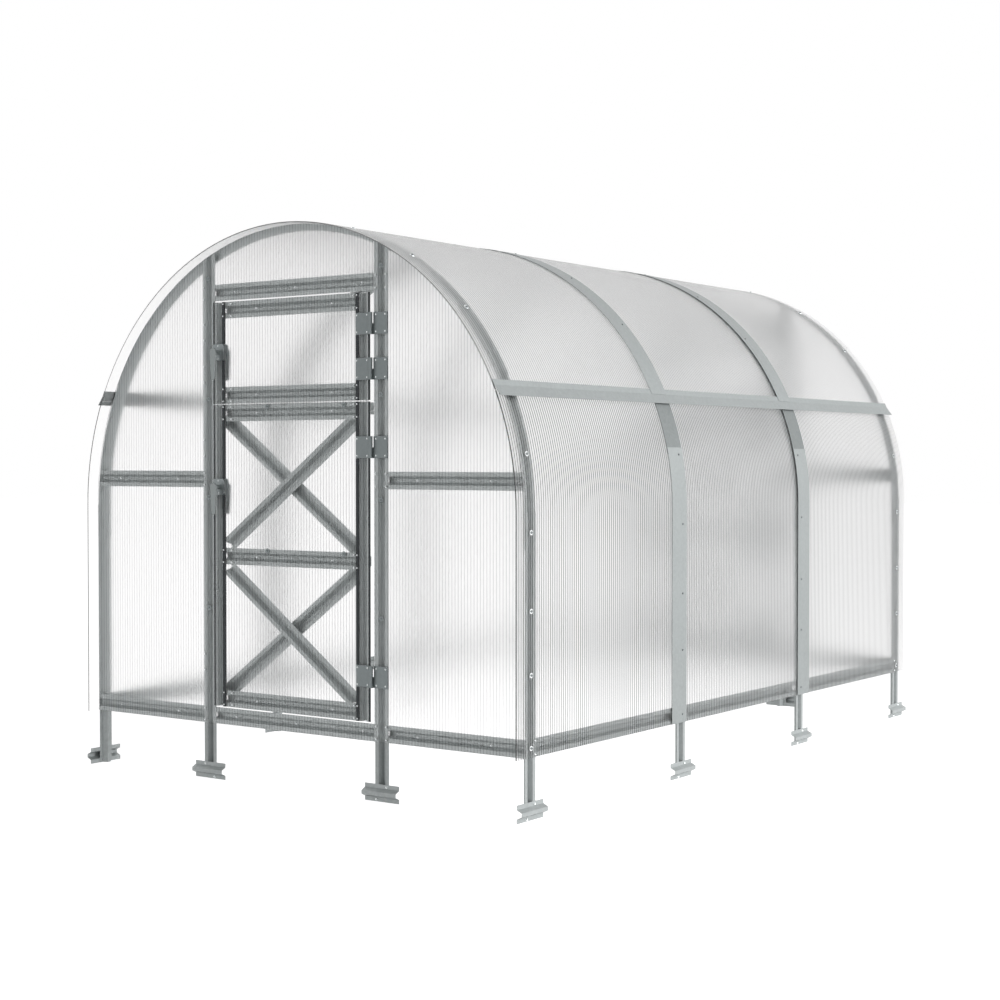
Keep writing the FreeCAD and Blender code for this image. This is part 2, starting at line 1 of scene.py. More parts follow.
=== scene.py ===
# %% [markdown]
# # An arched garden greenhouse
# The real thing is a kit: bent hat-shaped strips of galvanised steel carry clear twin-wall
# polycarbonate sheets, and each gable has a door of two leaves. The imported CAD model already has
# the right shapes, so Blender gives it a camera, light, finishes and the many small screws.
# Loading comes first, because every later piece is placed from the frame's own boxes.

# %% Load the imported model
import json
import math

import bmesh
import bpy
from mathutils import Matrix, Vector


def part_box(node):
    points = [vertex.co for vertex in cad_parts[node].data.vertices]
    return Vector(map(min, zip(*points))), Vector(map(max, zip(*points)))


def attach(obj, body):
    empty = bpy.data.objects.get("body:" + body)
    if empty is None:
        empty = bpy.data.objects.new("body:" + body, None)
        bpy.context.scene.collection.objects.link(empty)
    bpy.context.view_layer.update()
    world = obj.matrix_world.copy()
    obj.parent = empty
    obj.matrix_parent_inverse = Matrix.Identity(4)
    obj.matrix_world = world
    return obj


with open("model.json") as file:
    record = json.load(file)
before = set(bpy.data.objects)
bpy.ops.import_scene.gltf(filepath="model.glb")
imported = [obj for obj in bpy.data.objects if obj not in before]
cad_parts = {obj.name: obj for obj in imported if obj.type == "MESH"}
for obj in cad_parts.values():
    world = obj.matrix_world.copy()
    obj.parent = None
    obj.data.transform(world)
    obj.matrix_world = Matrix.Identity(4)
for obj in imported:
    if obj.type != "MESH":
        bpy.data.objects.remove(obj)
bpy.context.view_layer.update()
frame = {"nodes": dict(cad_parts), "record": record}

nodes = frame["nodes"]

# %% [markdown]
# ## The camera
# A photograph is matched by the place, the direction and the focal length of one camera. The
# values below were worked out from the corners of the frame, whose real sizes are known, and then
# kept. The view is nearly level, from the front right, with a long lens.

# %% Camera
CAMERA_PLACE = Vector((4.3198, -6.2989, 1.1671))
CAMERA_TILT = math.radians(88.761)
CAMERA_TURN = math.radians(35.4635)
LENS = 65.263  # millimetres, on a sensor of the usual 36

camera_data = bpy.data.cameras.new("camera")
camera_data.sensor_width = 36
camera_data.lens = LENS
camera = bpy.data.objects.new("camera", camera_data)
camera.location = CAMERA_PLACE
camera.rotation_euler = (CAMERA_TILT, 0, CAMERA_TURN)
bpy.context.scene.collection.objects.link(camera)
bpy.context.scene.camera = camera
bpy.context.scene.view_settings.view_transform = "Standard"
print("camera", tuple(round(v, 3) for v in camera.location))


# %% [markdown]
# ## Three small helpers for materials
# Colours are written as sRGB hex values, as a paint chart gives them, and Blender works in linear
# light, so one function converts them. One more function adds a node, fills its sockets and links
# it, and a third starts an empty material, so that each finish below reads as a short list.

# %% Helpers for materials
def linear(hex_colour):
    """A hex colour such as a0a5a6 as linear red, green, blue and alpha."""
    parts = [int(hex_colour[i : i + 2], 16) / 255 for i in (0, 2, 4)]
    return [p / 12.92 if p <= 0.04045 else ((p + 0.055) / 1.055) ** 2.4 for p in parts] + [1.0]


def add(tree, kind, inputs=None, **settings):
    """Adds a node with its settings. A socket given as an input is linked, a value is set."""
    node = tree.nodes.new(kind)
    for name, value in settings.items():
        setattr(node, name, value)
    for name, value in (inputs or {}).items():
        if isinstance(value, bpy.types.NodeSocket):
            tree.links.new(value, node.inputs[name])
        else:
            node.inputs[name].default_value = value
    return node


def start_material(name):
    """An empty material, and its node tree."""
    material = bpy.data.materials.new(name)
    material.use_nodes = True
    material.node_tree.nodes.clear()
    return material, material.node_tree


MM = 0.001
print("white is", linear("ffffff"))

# %% [markdown]
# ## White room
# The greenhouse stands in a white studio. The world gives an even, modest light, and shows as pure
# white only to the camera, to metal and through the clear sheets. A brighter world would be
# simpler, but it would bleach the zinc, so the Light Path node tells these rays apart.

# %% World
WORLD_LIGHT = 0.42

world = bpy.data.worlds.new("studio")
bpy.context.scene.world = world
world.use_nodes = True
world.node_tree.nodes.clear()


def seen_white(tree):
    """1 for a ray that the camera, a gloss or a clear sheet sends, and 0 for plain light."""
    path = add(tree, "ShaderNodeLightPath")
    seen = path.outputs["Is Camera Ray"]
    for kind in ("Is Glossy Ray", "Is Transmission Ray"):
        either = add(tree, "ShaderNodeMath", {0: seen, 1: path.outputs[kind]}, operation="MAXIMUM")
        seen = either.outputs[0]
    return seen


world_strength = add(
    world.node_tree,
    "ShaderNodeMapRange",
    {"Value": seen_white(world.node_tree), "To Min": WORLD_LIGHT, "To Max": 1.0},
)
world_light = add(
    world.node_tree,
    "ShaderNodeBackground",
    {"Color": linear("ffffff"), "Strength": world_strength.outputs["Result"]},
)
add(world.node_tree, "ShaderNodeOutputWorld", {"Surface": world_light.outputs[0]})
print("world light", WORLD_LIGHT)

# %% [markdown]
# ## Pale floor
# A studio floor is painted white, and one large flat grid is enough for it. Most of its white is
# its own glow, which the camera, metal and clear sheets see. The rest is lit paint, so that the
# house still leaves a soft shadow on it.

# %% Floor
FLOOR_HALF = 40.0
FLOOR_GLOW = 0.93

floor_mesh = bmesh.new()
bmesh.ops.create_grid(floor_mesh, x_segments=1, y_segments=1, size=FLOOR_HALF)
floor_data = bpy.data.meshes.new("studio_floor")
floor_mesh.to_mesh(floor_data)
floor_mesh.free()
floor = bpy.data.objects.new("studio_floor", floor_data)
bpy.context.scene.collection.objects.link(floor)

# White floor paint: the eye sees an even white, with a soft grey shadow under the house.
floor_paint, tree = start_material("white_studio_floor")
paint = add(tree, "ShaderNodeBsdfDiffuse", {"Color": linear("a8a8a8")})
glow_share = add(
    tree,
    "ShaderNodeMath",
    {0: seen_white(tree), 1: FLOOR_GLOW},
    operation="MULTIPLY",
)
glow = add(
    tree,
    "ShaderNodeEmission",
    {"Color": linear("ffffff"), "Strength": glow_share.outputs[0]},
)
both = add(tree, "ShaderNodeAddShader", {0: paint.outputs[0], 1: glow.outputs[0]})
add(tree, "ShaderNodeOutputMaterial", {"Surface": both.outputs[0]})
floor_data.materials.append(floor_paint)
print("floor", FLOOR_HALF * 2, "m wide")

# %% [markdown]
# ## One soft lamp
# A large square lamp on the right makes the long side lighter than the gable, as in the
# photograph. Several small lamps would each give a shadow, so there is only one. The clear sheets
# don't show it, because its square outline would float behind them.

# %% Lamp
LAMP_PLACE = Vector((8.5, 2.0, 3.2))
LAMP_TARGET = Vector((0, 0, 1.0))
LAMP_SIZE = 6.0
LAMP_WATTS = 620

lamp_data = bpy.data.lights.new("side_lamp", "AREA")
lamp_data.size = LAMP_SIZE
lamp_data.energy = LAMP_WATTS
lamp = bpy.data.objects.new("side_lamp", lamp_data)
lamp.location = LAMP_PLACE
lamp.rotation_euler = (LAMP_TARGET - LAMP_PLACE).to_track_quat("-Z", "Y").to_euler()
lamp.visible_transmission = False
bpy.context.scene.collection.objects.link(lamp)
print("lamp", lamp.name, LAMP_WATTS, "W")

# %% [markdown]
# ## Galvanised steel
# The frame is rolled from galvanised strip. Hot zinc freezes in flat crystals a few millimetres
# wide, the spangle, which gives the grey a faint patchwork of lighter and darker flakes. A Voronoi
# pattern on Object coordinates gives that patchwork, and a slow noise gives the cloudy weathering.
# The zinc is only half mirror-like, so the metallic value stays below 1.

# %% Galvanised steel
SPANGLE = 9 * MM
CLOUD = 160 * MM
SPANGLE_SHARE = 0.45  # of the patchwork, and the clouds give the rest
SPANGLE_DULLNESS = 0.06  # how far the roughness of a crystal is from the mean


def galvanised_steel(name, light_zinc, dark_zinc, metallic, roughness):
    """Zinc-coated strip: flat crystals of two greys, cloudy, with a dull metal gloss."""
    material, tree = start_material(name)
    place = add(tree, "ShaderNodeTexCoord").outputs["Object"]
    flakes = add(tree, "ShaderNodeTexVoronoi", {"Vector": place, "Scale": 1 / SPANGLE})
    clouds = add(tree, "ShaderNodeTexNoise", {"Vector": place, "Scale": 1 / CLOUD, "Detail": 3.0})
    flake = add(tree, "ShaderNodeSeparateColor", {"Color": flakes.outputs["Color"]})
    patch = add(
        tree,
        "ShaderNodeMix",
        {0: SPANGLE_SHARE, 2: clouds.outputs["Fac"], 3: flake.outputs["Red"]},
        data_type="FLOAT",
    )
    zinc = add(
        tree,
        "ShaderNodeMix",
        {0: patch.outputs[0], 6: linear(dark_zinc), 7: linear(light_zinc)},
        data_type="RGBA",
    )
    dullness = add(
        tree,
        "ShaderNodeMapRange",
        {
            "Value": flake.outputs["Green"],
            "To Min": roughness - SPANGLE_DULLNESS,
            "To Max": roughness + SPANGLE_DULLNESS,
        },
    )
    surface = add(
        tree,
        "ShaderNodeBsdfPrincipled",
        {
            "Base Color": zinc.outputs[2],
            "Metallic": metallic,
            "Roughness": dullness.outputs["Result"],
        },
    )
    add(tree, "ShaderNodeOutputMaterial", {"Surface": surface.outputs[0]})
    return material


frame_steel = galvanised_steel("galvanised_frame_strip", "b4b9b9", "a3a8a8", 0.45, 0.48)
leaf_steel = galvanised_steel("galvanised_leaf_strip", "b0b5b5", "a0a5a5", 0.45, 0.48)
anchor_steel = galvanised_steel("galvanised_anchor_strip", "b9bebe", "a8adad", 0.45, 0.45)
strap_steel = galvanised_steel("galvanised_cover_strap", "a4a9a9", "979c9c", 0.4, 0.5)
# The shoulder straps take the cover-strap zinc painted darker, as painted shade below the eave
# band.
shoulder_strap_painted_shade = galvanised_steel("galvanised_shoulder_strap_painted_shade", "858a8a", "787d7d", 0.4, 0.5)
print("steels", [m.name for m in bpy.data.materials if "galvanised" in m.name])


# %% [markdown]
# ## Zinc-plated fittings
# Hinges, latches and screws are plated in a bath, which leaves a thinner, smoother and brighter
# coat than hot zinc, without crystals. The frame's recipe would show crystals on them, so they
# have their own, in which fine noise in the roughness stands for handling marks.

# %% Zinc-plated fittings
HANDLING_MARK = 12 * MM
MARK_DULLNESS = 0.1  # how far the roughness of a mark is from the mean


def zinc_plate(name, light_zinc, dark_zinc, roughness, metallic=0.6):
    """Bath-plated steel: smooth, bright and slightly marked by handling."""
    material, tree = start_material(name)
    place = add(tree, "ShaderNodeTexCoord").outputs["Object"]
    marks = add(
        tree,
        "ShaderNodeTexNoise",
        {"Vector": place, "Scale": 1 / HANDLING_MARK, "Detail": 4.0},
    )
    zinc = add(
        tree,
        "ShaderNodeMix",
        {0: marks.outputs["Fac"], 6: linear(dark_zinc), 7: linear(light_zinc)},
        data_type="RGBA",
    )
    dullness = add(
        tree,
        "ShaderNodeMapRange",
        {
            "Value": marks.outputs["Fac"],
            "To Min": roughness - MARK_DULLNESS,
            "To Max": roughness + MARK_DULLNESS,
        },
    )
    surface = add(
        tree,
        "ShaderNodeBsdfPrincipled",
        {
            "Base Color": zinc.outputs[2],
            "Metallic": metallic,
            "Roughness": dullness.outputs["Result"],
        },
    )
    add(tree, "ShaderNodeOutputMaterial", {"Surface": surface.outputs[0]})
    return material


hinge_zinc = zinc_plate("zinc_plated_hinge", "8d9495", "7d8485", 0.4)
latch_plate_zinc = zinc_plate("zinc_plated_latch_plate", "9ba2a3", "8a9192", 0.4)
lever_zinc = zinc_plate("zinc_plated_lever", "a2a8a8", "909696", 0.4)
screw_zinc = zinc_plate("zinc_plated_screw", "f6f8f8", "e8ecec", 0.22, 1.0)
# The strap screws are painted a dark zinc all over, as painted shade of their cross recess.
strap_screw_painted_shade = zinc_plate("zinc_plated_strap_screw_painted_shade", "7d8283", "6c7172", 0.4)
print("zinc", hinge_zinc.name, lever_zinc.name, screw_zinc.name)

# %% [markdown]
# ## Black rubber seal
# Each stile carries a thin rubber strip where the leaf closes on the post. Rubber is nearly black,
# without gloss, and a little dusty. One flat black would look like a gap in the leaf, so noise
# lifts its grey here and there.

# %% Seal rubber
DUST = 25 * MM

seal_rubber, tree = start_material("black_seal_rubber")
place = add(tree, "ShaderNodeTexCoord").outputs["Object"]
dust = add(tree, "ShaderNodeTexNoise", {"Vector": place, "Scale": 1 / DUST, "Detail": 5.0})
black = add(
    tree,
    "ShaderNodeMix",
    {0: dust.outputs["Fac"], 6: linear("303436"), 7: linear("4b5053")},
    data_type="RGBA",
)
rubber = add(
    tree,
    "ShaderNodeBsdfPrincipled",
    {"Base Color": black.outputs[2], "Roughness": 0.7, "IOR": 1.5},
)
add(tree, "ShaderNodeOutputMaterial", {"Surface": rubber.outputs[0]})
print("rubber", seal_rubber.name)

# %% [markdown]
# ## Clear twin-wall polycarbonate
# The sheets are extruded: two thin skins joined by ribs. The skins are clear and a little hazy, so
# things behind a sheet turn milky with distance, and the ribs scatter light, so the eye sees fine
# grey lines. The hollow cells could be modelled, but they would take thousands of thin faces, so
# the solid CAD sheet gets the look from a Wave pattern. Real ribs stand about 6 mm apart, which is
# too fine for the picture, so the pattern is as coarse as the photograph shows it. The grey of the
# lines is painted, and each kind of sheet has its own grey as painted shade: darkest on the walls,
# which the lamp lights, so that their ribs still show dark, and lightest on the unlit gables.
#
# The lines run round the arch on the roof and walls, and upright on the gables and the leaves.
# They are drawn where light enters the outer skin, and not where it leaves again, because on the
# real house the haze of the first sheet blurs the ribs of all the sheets behind it.

# %% Twin-wall sheets
RIB_PITCH = 13 * MM
WAVE_TURNS = 20.0  # Blender's Wave texture counts 20 radians for each unit of its scale
RIB_SCALE = 2 * math.pi / (WAVE_TURNS * RIB_PITCH)
HOUSE_MIDDLE = (0.0, 0.0, 1.0)  # every sheet's outer skin faces away from this point
CELL_HAZE = 0.33  # roughness between the ribs, where the skins are clearest
RIB_HAZE = 0.38
SHEET_IOR = 1.2  # less than the plastic's own 1.58, because most of a twin-wall sheet is air
RIB_EDGE = 0.74  # where on the wave a rib begins, so that a rib takes about a third of the spacing


def twin_wall_sheet(name, across, rib_grey_with_painted_shade, rib_clear):
    """Twin-wall polycarbonate with ribs spaced along one axis: clear cells, greyer ribs."""
    material, tree = start_material(name)
    coordinates = add(tree, "ShaderNodeTexCoord")
    ribs = add(
        tree,
        "ShaderNodeTexWave",
        {"Vector": coordinates.outputs["Object"], "Scale": RIB_SCALE},
        wave_type="BANDS",
        bands_direction=across,
        wave_profile="SIN",
    )
    ridge = add(
        tree,
        "ShaderNodeMapRange",
        {"Value": ribs.outputs["Fac"], "From Min": RIB_EDGE, "From Max": 1.0},
        interpolation_type="SMOOTHSTEP",
    )
    outwards = add(
        tree,
        "ShaderNodeVectorMath",
        {0: coordinates.outputs["Object"], 1: HOUSE_MIDDLE},
        operation="SUBTRACT",
    )
    facing = add(
        tree,
        "ShaderNodeVectorMath",
        {0: coordinates.outputs["Normal"], 1: outwards.outputs["Vector"]},
        operation="DOT_PRODUCT",
    )
    outer_skin = add(
        tree,
        "ShaderNodeMath",
        {0: facing.outputs["Value"], 1: 0.0},
        operation="GREATER_THAN",
    )
    outer_ridge = add(
        tree,
        "ShaderNodeMath",
        {0: ridge.outputs["Result"], 1: outer_skin.outputs[0]},
        operation="MULTIPLY",
    )
    leaving = add(tree, "ShaderNodeNewGeometry").outputs["Backfacing"]
    rib = add(
        tree,
        "ShaderNodeMapRange",
        {"Value": leaving, "To Min": outer_ridge.outputs[0], "To Max": 0.0},
    ).outputs["Result"]
    plastic = add(
        tree,
        "ShaderNodeMix",
        {0: rib, 6: linear("ffffff"), 7: linear(rib_grey_with_painted_shade)},
        data_type="RGBA",
    )
    clearness = add(
        tree,
        "ShaderNodeMapRange",
        {"Value": rib, "To Min": 1.0, "To Max": rib_clear},
    )
    haze = add(
        tree,
        "ShaderNodeMapRange",
        {"Value": rib, "To Min": CELL_HAZE, "To Max": RIB_HAZE},
    )
    surface = add(
        tree,
        "ShaderNodeBsdfPrincipled",
        {
            "Base Color": plastic.outputs[2],
            "Roughness": haze.outputs["Result"],
            "IOR": SHEET_IOR,
            "Transmission Weight": clearness.outputs["Result"],
        },
    )
    add(tree, "ShaderNodeOutputMaterial", {"Surface": surface.outputs[0]})
    return material


# Rib greys differ by sheet as painted shade: the lamp-lit walls get the darkest, the unlit gables
# the lightest.
wall_sheet = twin_wall_sheet("twin_wall_wall_sheet", "Y", "202020", 0.92)
roof_sheet = twin_wall_sheet("twin_wall_roof_sheet", "Y", "969696", 0.96)
gable_sheet = twin_wall_sheet("twin_wall_gable_sheet", "X", "c0c0c0", 0.92)
leaf_sheet = twin_wall_sheet("twin_wall_leaf_sheet", "X", "b0b0b0", 0.90)
print("rib spacing", RIB_PITCH, "wave scale", round(RIB_SCALE, 2))

# %% [markdown]
# ## The finishes go on the frame
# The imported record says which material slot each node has, so one table from slot to finish
# dresses every CAD node, and no node can be missed.

# %% Dress the CAD nodes
finishes = {
    "frame_steel": frame_steel,
    "leaf_steel": leaf_steel,
    "anchor_steel": anchor_steel,
    "strap_steel": strap_steel,
    "shoulder_strap_steel": shoulder_strap_painted_shade,
    "hinge_steel": hinge_zinc,
    "latch_plate": latch_plate_zinc,
    "latch_lever": lever_zinc,
    "seal_rubber": seal_rubber,
    "arch_sheet": wall_sheet,
    "gable_sheet": gable_sheet,
    "leaf_sheet": leaf_sheet,
}
for subpart in frame["record"]["subparts"]:
    node = nodes[subpart["node"]]
    node.data.materials.clear()
    node.data.materials.append(finishes[subpart["material_slot"]])
nodes["roof_sheets"].data.materials[0] = roof_sheet

# %% [markdown]
# ## Screws
# Nearly four hundred screws hold the strips and sheets of a real kit together. One screw is a low
# round head with a recess for the driver. It could be turned from a drawn profile with spin, but a
# cone from bmesh with its top face inset and pushed in gives the same look with about thirty
# faces. Screws through the end arches also have a wide washer, which spreads their load on the
# sheet.

# %% One screw
HEAD_SIDES = 10
HEAD_TAPER = 0.8
RECESS_SHARE = 0.4  # of the head's radius and of its height
WASHER_HEIGHT = 1.2 * MM
WASHER_TAPER = 0.92


def screw(mesh, place, out, radius, height, washer=0.0):
    """A round head with a recess, and a washer under it if its radius is given, on a surface."""
    out = Vector(out).normalized()
    turn = out.to_track_quat("Z", "Y").to_matrix().to_4x4()
    foot = 0.0
    if washer:
        foot = WASHER_HEIGHT
        bmesh.ops.create_cone(
            mesh,
            cap_ends=True,
            segments=2 * HEAD_SIDES,
            radius1=washer,
            radius2=washer * WASHER_TAPER,
            depth=foot,
            matrix=Matrix.Translation(place + out * foot / 2) @ turn,
        )
    head = bmesh.ops.create_cone(
        mesh,
        cap_ends=True,
        segments=HEAD_SIDES,
        radius1=radius,
        radius2=radius * HEAD_TAPER,
        depth=height,
        matrix=Matrix.Translation(place + out * (foot + height / 2)) @ turn,
    )
    faces = {face for vert in head["verts"] for face in vert.link_faces}
    if washer:
        for face in faces:
            face.material_index = 1
    top = max(faces, key=lambda face: face.calc_center_median().dot(out))
    top.normal_update()
    bmesh.ops.inset_individual(
        mesh, faces=[top], thickness=radius * RECESS_SHARE, depth=-height * RECESS_SHARE
    )
    # The recess takes the second material, the hinge zinc, as painted shade inside it.
    top.material_index = 1


print("sides of a screw head", HEAD_SIDES)


# %% [markdown]
# ## Groups of screws
# Screws that move together are one piece: those of the frame ride on the frame, and those of a
# leaf ride on that leaf, so that they swing with it. The recess is painted darker than the head,
# as painted shade inside it, and a screw with a washer takes that same zinc for its whole head.

# %% A group of screws
def screw_group(name, body, spots, radius, height, washer=0.0, head=screw_zinc):
    """One piece with a screw at every spot, where a spot is a place and the way out."""
    mesh = bmesh.new()
    for place, out in spots:
        screw(mesh, place, out, radius, height, washer)
    bmesh.ops.recalc_face_normals(mesh, faces=mesh.faces)
    data = bpy.data.meshes.new(name)
    mesh.to_mesh(data)
    mesh.free()
    data.materials.append(head)
    # The second material is the painted shade of the recesses, and the head of a screw on a washer.
    data.materials.append(hinge_zinc)
    piece = bpy.data.objects.new(name, data)
    bpy.context.scene.collection.objects.link(piece)
    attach(piece, body)
    print(name, len(spots), "screws")


# %% [markdown]
# ## Screws round the arches
# The sheets are screwed to the arches at the same heights and angles on every arch. The end arches
# carry washers that show through to both sides, and the middle arches carry the cover straps, with
# plain small heads on them. The spring line, where leg turns into half circle, gives each
# direction.

# %% Screws round the arches
SPRING_HEIGHT = 1.0
END_ARCH_Y = 1.470
MIDDLE_ARCH_Y = 0.490
LEG_HEIGHTS = (1.190, 0.935, 0.680, 0.472, 0.235)
TOP_ANGLE = 90.0
ROOF_ANGLES = (42.3, 59.1, 75.2, TOP_ANGLE)
ARCH_SCREW = (4.5 * MM, 3 * MM, 9 * MM)  # radius and height of the head, radius of the washer
STRAP_SCREW = (4 * MM, 2.4 * MM)

sheet_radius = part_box("right_wall_sheets")[1].x
strap_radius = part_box("wall_cover_straps")[1].x


def arch_spots(radius, y, heights):
    """Spots up one leg, over the roof and down the other leg, on an arch of that radius."""
    spots = []
    leans = [math.degrees(math.asin(max(z - SPRING_HEIGHT, 0) / radius)) for z in heights]
    feet = [min(z, SPRING_HEIGHT) for z in heights] + [SPRING_HEIGHT] * len(ROOF_ANGLES)
    for lean, foot in zip(leans + list(ROOF_ANGLES), feet):
        for side in (1, -1):
            if lean == TOP_ANGLE and side < 0:
                continue
            out = Vector((side * math.cos(math.radians(lean)), 0, math.sin(math.radians(lean))))
            spots.append((Vector((0, y, foot)) + out * radius, out))
    return spots


end_spots = [
    spot
    for y in (-END_ARCH_Y, END_ARCH_Y)
    for spot in arch_spots(sheet_radius, y, LEG_HEIGHTS)
]
screw_group("arch_washer_screws", "frame", end_spots, *ARCH_SCREW)
middle_spots = [
    spot
    for y in (-MIDDLE_ARCH_Y, MIDDLE_ARCH_Y)
    for spot in arch_spots(strap_radius, y, LEG_HEIGHTS)
]
# The heads on the straps are painted dark, as painted shade.
screw_group("strap_screws", "frame", middle_spots, *STRAP_SCREW, head=strap_screw_painted_shade)

# %% [markdown]
# ## Screws of the gables
# Each rail end is screwed to a post with pairs of screws, and so is each hinge plate. The front
# gable is listed here, and the rear one is the same gable turned half a turn about the upright
# axis, so one small function gives its places. Places in millimetres come from the frame's own
# sizes.

# %% Screws of the gables
RAIL_PAIR = 22.0  # half the distance between the two screws of a rail end
HINGE_PAIR = 29.0
HINGE_HEIGHTS = (427.0, 1213.5, 1481.8, 1636.5)
GROUND_RAIL, MID_RAIL, LINTEL = POST_RAIL_HEIGHTS = (236.0, 1101.0, 1778.0)
POST_SCREW_XS = (384, 428)
POST_PLATE_XS = (388, 428)
LATCH_POST_XS = (-428,)
DOOR_RAIL_XS = (-270, 20, 325)
SIDE_RAIL_XS = (-870, -565, 565, 870)
HINGE_PLATE = 2.1 * MM  # with its seat
GABLE_SCREW = (3.6 * MM, 2.2 * MM)

sheet_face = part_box("front_gable_side_sheets")[0].y
plate_face = sheet_face - HINGE_PLATE


def pairs(centres, half):
    """Two heights round each centre."""
    return [centre + side * half for centre in centres for side in (1, -1)]


def front_spots(xs, zs, face):
    """Spots on a face of the front gable, at every x and z given in millimetres."""
    return [(Vector((x * MM, face, z * MM)), (0, -1, 0)) for x in xs for z in zs]


def turned(spots):
    """The same spots on the rear gable."""
    return [(Vector((-p.x, -p.y, p.z)), (-o[0], -o[1], o[2])) for p, o in spots]


post_spots = front_spots(POST_SCREW_XS, pairs(POST_RAIL_HEIGHTS, RAIL_PAIR), sheet_face)
post_spots += front_spots(POST_PLATE_XS, pairs(HINGE_HEIGHTS, HINGE_PAIR), plate_face)
post_spots += front_spots(LATCH_POST_XS, pairs(POST_RAIL_HEIGHTS, RAIL_PAIR), sheet_face)
post_spots += front_spots(LATCH_POST_XS, pairs(HINGE_HEIGHTS, HINGE_PAIR), sheet_face)
rail_spots = front_spots(DOOR_RAIL_XS, (GROUND_RAIL, LINTEL), sheet_face)
rail_spots += front_spots(SIDE_RAIL_XS, (GROUND_RAIL, MID_RAIL), sheet_face)
gable_spots = post_spots + rail_spots
screw_group("front_gable_screws", "frame", gable_spots, *GABLE_SCREW)
screw_group("rear_gable_screws", "frame", turned(gable_spots), *GABLE_SCREW)

# %% [markdown]
# ## Washers on the posts
# Wide washers press the gable sheets against the middle of the posts. They are as grey as the
# posts, so only their rims and their dark screws show.

# %% Washers on the posts
POST_X = 406
POST_WASHER_HEIGHTS = (1832.0, 1393.0, 1034.0, 629.0)
WASHER_SCREW = (3.6 * MM, 2.4 * MM, 9 * MM)

post_washers = front_spots((-POST_X, POST_X), POST_WASHER_HEIGHTS, sheet_face)
for gable, spots in (("front", post_washers), ("rear", turned(post_washers))):
    screw_group(f"{gable}_gable_washers", "frame", spots, *WASHER_SCREW, head=latch_plate_zinc)

# %% [markdown]
# ## Bolts of the ground anchors
# Each ground anchor is bolted to its leg or post through both of its flanges, one bolt up and one
# down. Real bolts have six sides, but these are two pixels wide in the picture, so the round head
# serves again, only larger. Next to the end arches, two screws hold the end of each ground rail to
# the leg's flange.

# %% Anchor bolts and rail corners
BOLT_SIDE = 22.5  # from the middle of a leg to the middle of its flange
BOLT_HEIGHTS = (52.5, 7.5)
ANCHOR_FLANGE = 19 * MM  # from the crown of an anchor back to the face of its flanges
POST_ANCHOR_FACE = -1.501  # the front of the flanges of the anchors under the door posts
ANCHOR_BOLT = (5 * MM, 3 * MM)

leg_bolt_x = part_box("ground_anchors")[1].x - ANCHOR_FLANGE
leg_bolts = []
for y in (-END_ARCH_Y, -MIDDLE_ARCH_Y, MIDDLE_ARCH_Y, END_ARCH_Y):
    for shift, z in zip((BOLT_SIDE, -BOLT_SIDE), BOLT_HEIGHTS):
        for side in (1, -1):
            place = Vector((side * leg_bolt_x, y + shift * MM, z * MM))
            leg_bolts.append((place, (side, 0, 0)))
far, near = POST_X + BOLT_SIDE, POST_X - BOLT_SIDE
post_bolts = front_spots((-far, far), BOLT_HEIGHTS[:1], POST_ANCHOR_FACE)
post_bolts += front_spots((-near, near), BOLT_HEIGHTS[1:], POST_ANCHOR_FACE)
bolts = leg_bolts + post_bolts + turned(post_bolts)
screw_group("anchor_bolts", "frame", bolts, *ANCHOR_BOLT)

corner_y = END_ARCH_Y - BOLT_SIDE * MM
corners = [
    (Vector((side * sheet_radius, y, z * MM)), (side, 0, 0))
    for side in (1, -1)
    for y in (-corner_y, corner_y)
    for z in pairs((GROUND_RAIL,), RAIL_PAIR)
]
screw_group("rail_corner_screws", "frame", corners, *GABLE_SCREW)

# %% [markdown]
# ## Screws of the door leaves
# A leaf has pairs of screws at its rail ends, through its seals and through its hinge plates, and
# two on its latch plate. Each face is read from the box of the piece that the screws sit on, so
# the heads touch it. Two more screws fasten each pair of crossed braces, on the floor of the front
# brace's channel.

# %% Screws of the door leaves
RAIL_SCREW_XS = (-165, 190)
RAIL_END_XS = (-290, 288)
SEAL_XS = (-328, 304)
LEAF_PLATE_XS = (305, 350)
LATCH_XS = (-352,)
LATCH_PAIR = 23
LOWER_RAIL_HEIGHTS = (300.5, 820.3, 1340.0)
UPPER_RAIL_HEIGHTS = (1404.8, 1713.5)
LOWER_LATCH_HEIGHT = 1072.0
UPPER_LATCH_HEIGHT = 1561.8
LEAF_SCREW = (3.4 * MM, 2 * MM)

leaf_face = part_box("front_lower_leaf_sheet")[0].y
seal_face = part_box("front_lower_leaf_seals")[0].y
latch_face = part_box("front_lower_latch_base_plate")[0].y


def leaf_spots(rails, hinges, latch):
    """Spots of one leaf: its rail ends, seals, hinge plates and latch plate."""
    spots = front_spots(SEAL_XS, pairs(rails, RAIL_PAIR), seal_face)
    spots += front_spots(RAIL_END_XS, pairs(rails, RAIL_PAIR), leaf_face)
    spots += front_spots(RAIL_SCREW_XS, rails, leaf_face)
    spots += front_spots(LEAF_PLATE_XS, pairs(hinges, HINGE_PAIR), seal_face)
    return spots + front_spots(LATCH_XS, pairs((latch,), LATCH_PAIR), latch_face)


leaves = {
    "lower": leaf_spots(LOWER_RAIL_HEIGHTS, HINGE_HEIGHTS[:2], LOWER_LATCH_HEIGHT),
    "upper": leaf_spots(UPPER_RAIL_HEIGHTS, HINGE_HEIGHTS[2:], UPPER_LATCH_HEIGHT),
}

CROSSING_X = -12.0
CROSSING_SIDE = 19.0  # from the middle of a crossing to each of its screws
CROSSING_RISES = ((1080.1, 14.0), (560.4, -14.0))  # height, and rise to the right screw
BRACE_FLOOR = 19 * MM

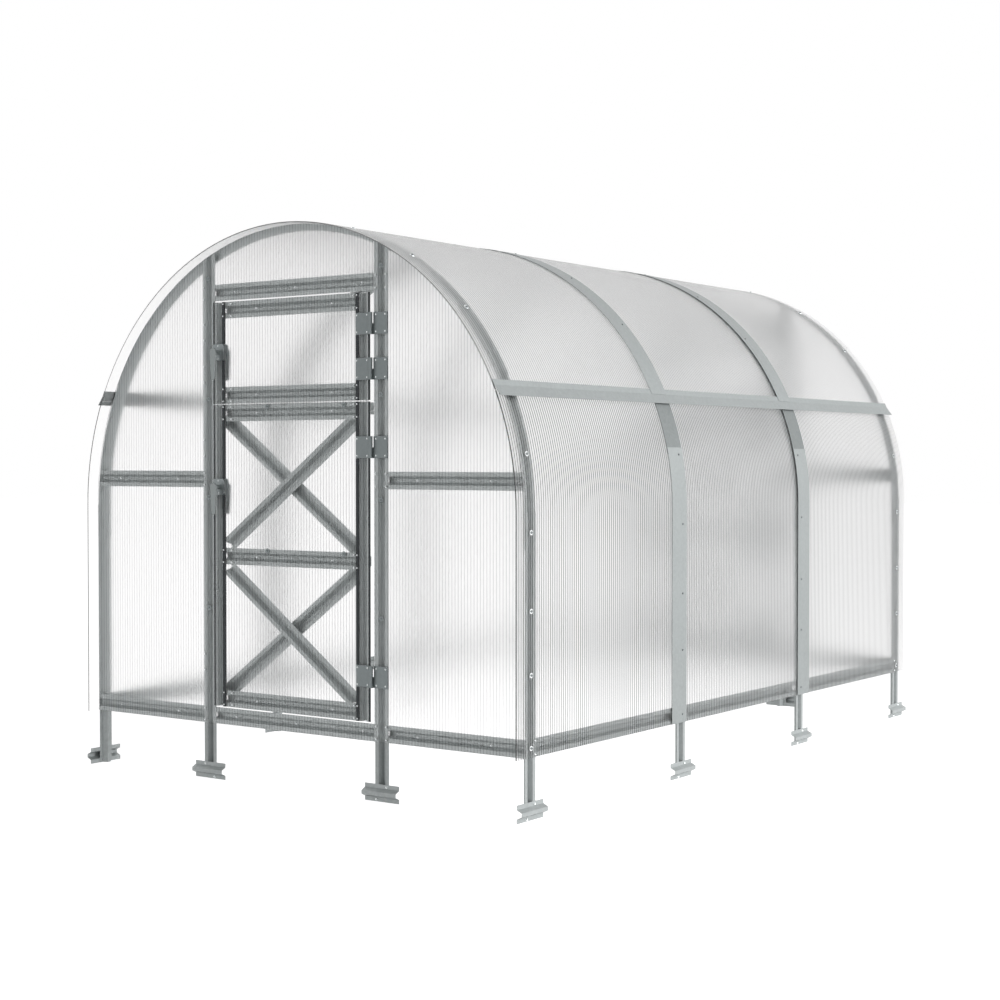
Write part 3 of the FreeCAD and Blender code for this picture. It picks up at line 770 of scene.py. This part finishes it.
brace_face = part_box("front_lower_leaf_braces")[0].y + BRACE_FLOOR
for z, rise in CROSSING_RISES:
    for side in (CROSSING_SIDE, -CROSSING_SIDE):
        height = z + rise * side / CROSSING_SIDE
        leaves["lower"] += front_spots((CROSSING_X + side,), (height,), brace_face)

for half, spots in leaves.items():
    for gable, places in (("front", spots), ("rear", turned(spots))):
        body = f"{gable}_{half}_door_leaf"
        screw_group(f"{gable}_{half}_leaf_screws", body, places, *LEAF_SCREW)

# %% [markdown]
# ## Washers on the lower leaf
# The sheet of the lower leaf is large, so four wide washers hold it to the two upper rails as
# well. They are the same washers as on the posts.

# %% Washers on the lower leaf
LEAF_WASHER_XS = (-116, 242)
LEAF_WASHER_HEIGHTS = (845.0, 1361.0)

leaf_washers = front_spots(LEAF_WASHER_XS, LEAF_WASHER_HEIGHTS, leaf_face)
for gable, spots in (("front", leaf_washers), ("rear", turned(leaf_washers))):
    body = f"{gable}_lower_door_leaf"
    screw_group(f"{gable}_leaf_washers", body, spots, *WASHER_SCREW, head=latch_plate_zinc)

# %% [markdown]
# ## The lip between the two leaves
# A bright line crosses the door where its leaves meet: the sheet of the lower leaf stands up a
# little past its rail and covers the gap. The sheet itself belongs to the CAD model and stays as
# it is, so a narrow box of the same plastic, in line with it, makes the lip.

# %% Lip of the lower sheet
LIP_CLEARANCE = 0.2 * MM

for gable in ("front", "rear"):
    low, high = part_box(f"{gable}_lower_leaf_sheet")
    lip_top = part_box(f"{gable}_upper_leaf_sheet")[0].z - LIP_CLEARANCE
    middle = Vector(((low.x + high.x) / 2, (low.y + high.y) / 2, (high.z + lip_top) / 2))
    size = (high.x - low.x, high.y - low.y, lip_top - high.z, 1.0)
    mesh = bmesh.new()
    bmesh.ops.create_cube(mesh, size=1.0, matrix=Matrix.Translation(middle) @ Matrix.Diagonal(size))
    lip_data = bpy.data.meshes.new(f"{gable}_sheet_lip")
    mesh.to_mesh(lip_data)
    mesh.free()
    lip_data.materials.append(leaf_sheet)
    lip = bpy.data.objects.new(f"{gable}_sheet_lip", lip_data)
    bpy.context.scene.collection.objects.link(lip)
    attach(lip, f"{gable}_lower_door_leaf")
    print(lip.name, round(size[2] / MM, 2), "mm high")
